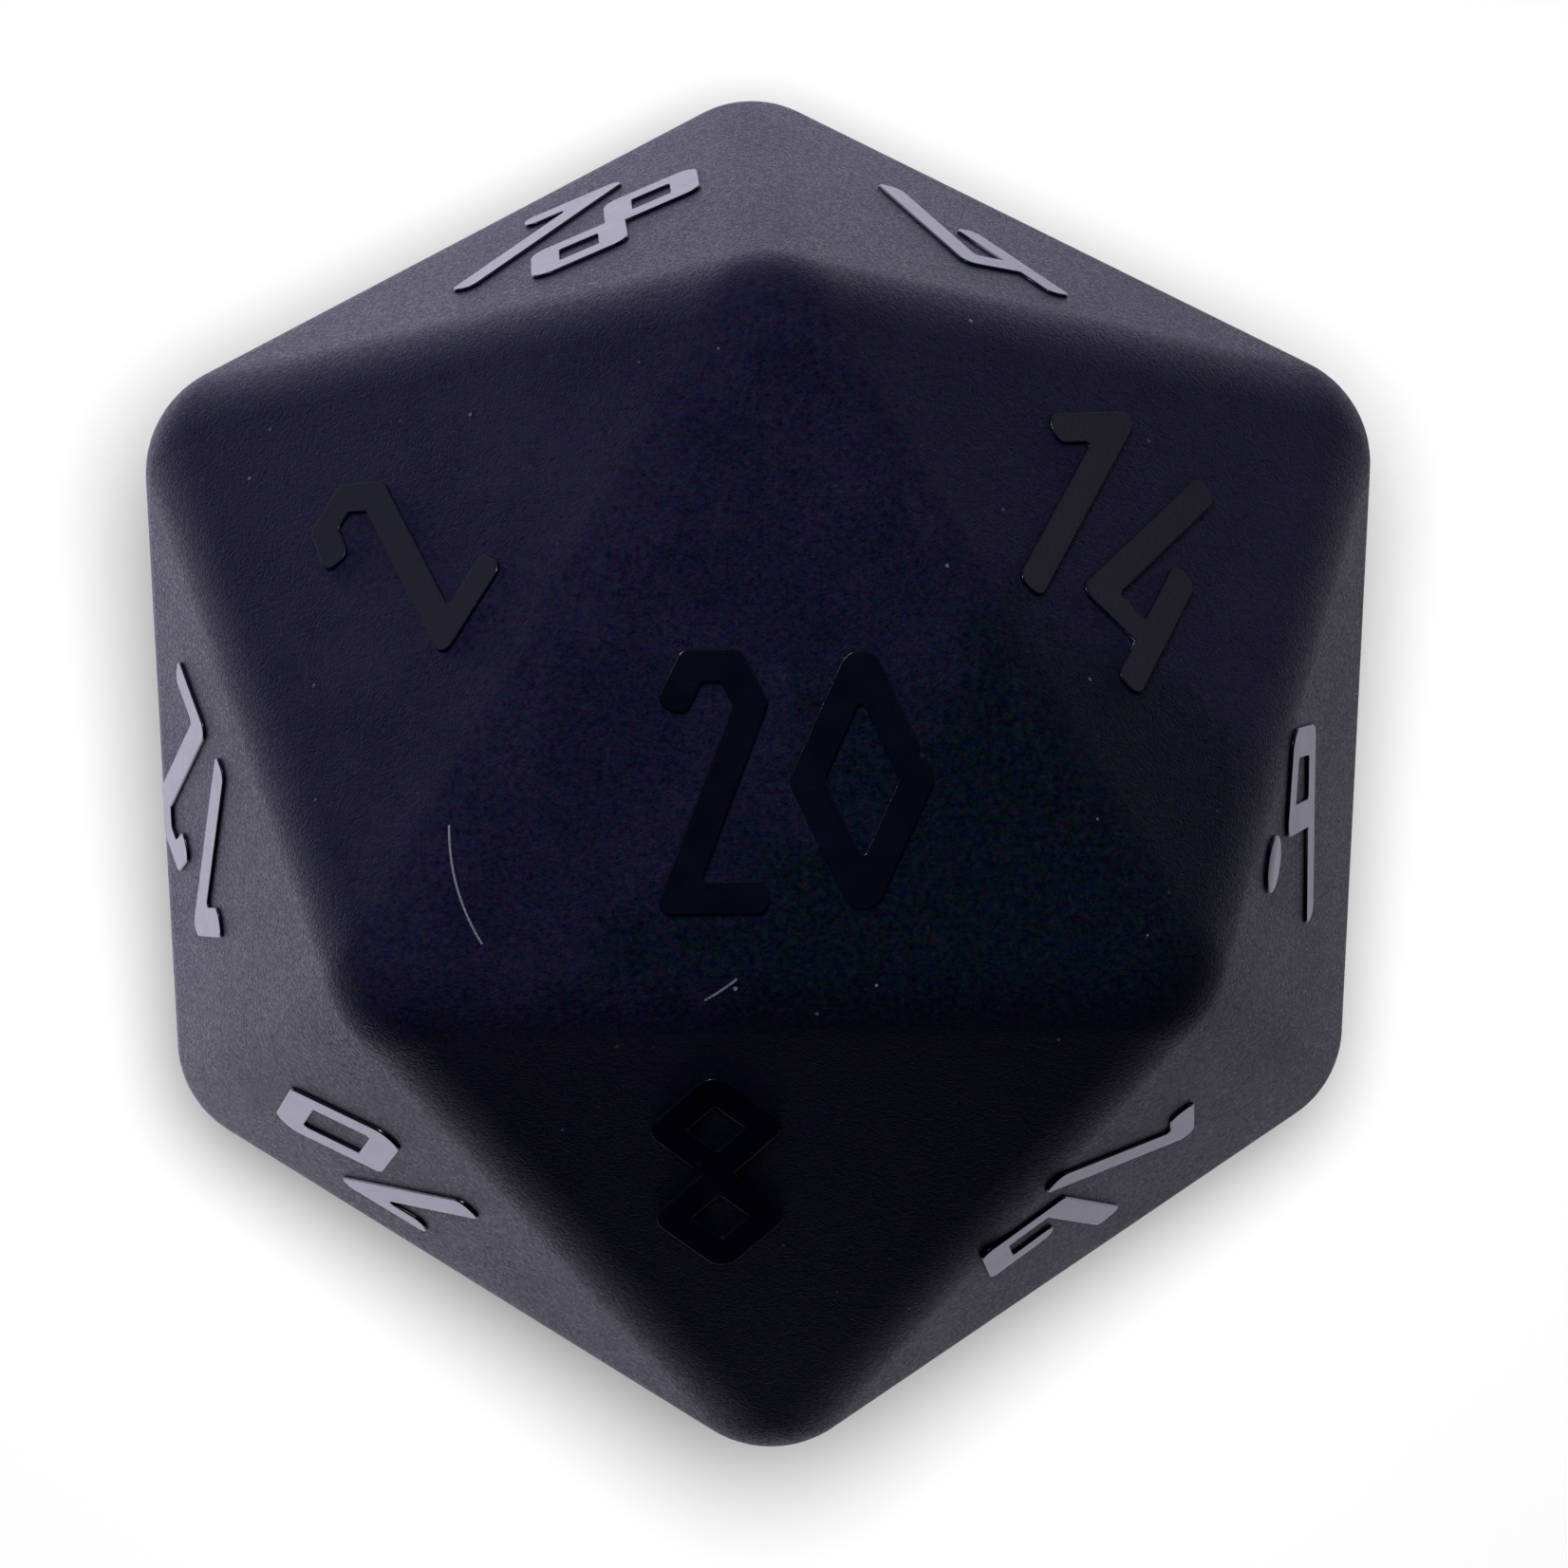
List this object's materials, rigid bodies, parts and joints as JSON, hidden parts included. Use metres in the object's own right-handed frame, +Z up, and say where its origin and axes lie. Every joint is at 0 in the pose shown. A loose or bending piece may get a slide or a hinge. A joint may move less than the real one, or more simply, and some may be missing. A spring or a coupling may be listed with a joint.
{
  "type": "polyhedral die",
  "caption": "Solid icosahedral gaming die with broadly rounded edges, in matte black, with a raised gloss black numeral on each face.",
  "frame": {"origin": "on the surface the die stands on, under its centre: the plane of the top of the raised numeral 1", "axes": "+Z up through the face with the numeral 20; +Y to the corner that the top of the 20 points to"},
  "size_m": [0.0212, 0.0238, 0.0201],
  "materials": {
    "matte_body": "fine-grained matte black with a slight indigo cast",
    "gloss_numeral": "smooth gloss black"
  },
  "bodies": {
    "root": {"die_body": "matte_body", "numeral_01": "gloss_numeral", "numeral_02": "gloss_numeral", "numeral_03": "gloss_numeral", "numeral_04": "gloss_numeral", "numeral_05": "gloss_numeral", "numeral_06": "gloss_numeral", "numeral_07": "gloss_numeral", "numeral_08": "gloss_numeral", "numeral_09": "gloss_numeral", "numeral_10": "gloss_numeral", "numeral_11": "gloss_numeral", "numeral_12": "gloss_numeral", "numeral_13": "gloss_numeral", "numeral_14": "gloss_numeral", "numeral_15": "gloss_numeral", "numeral_16": "gloss_numeral", "numeral_17": "gloss_numeral", "numeral_18": "gloss_numeral", "numeral_19": "gloss_numeral", "numeral_20": "gloss_numeral"}
  },
  "joints": []
}
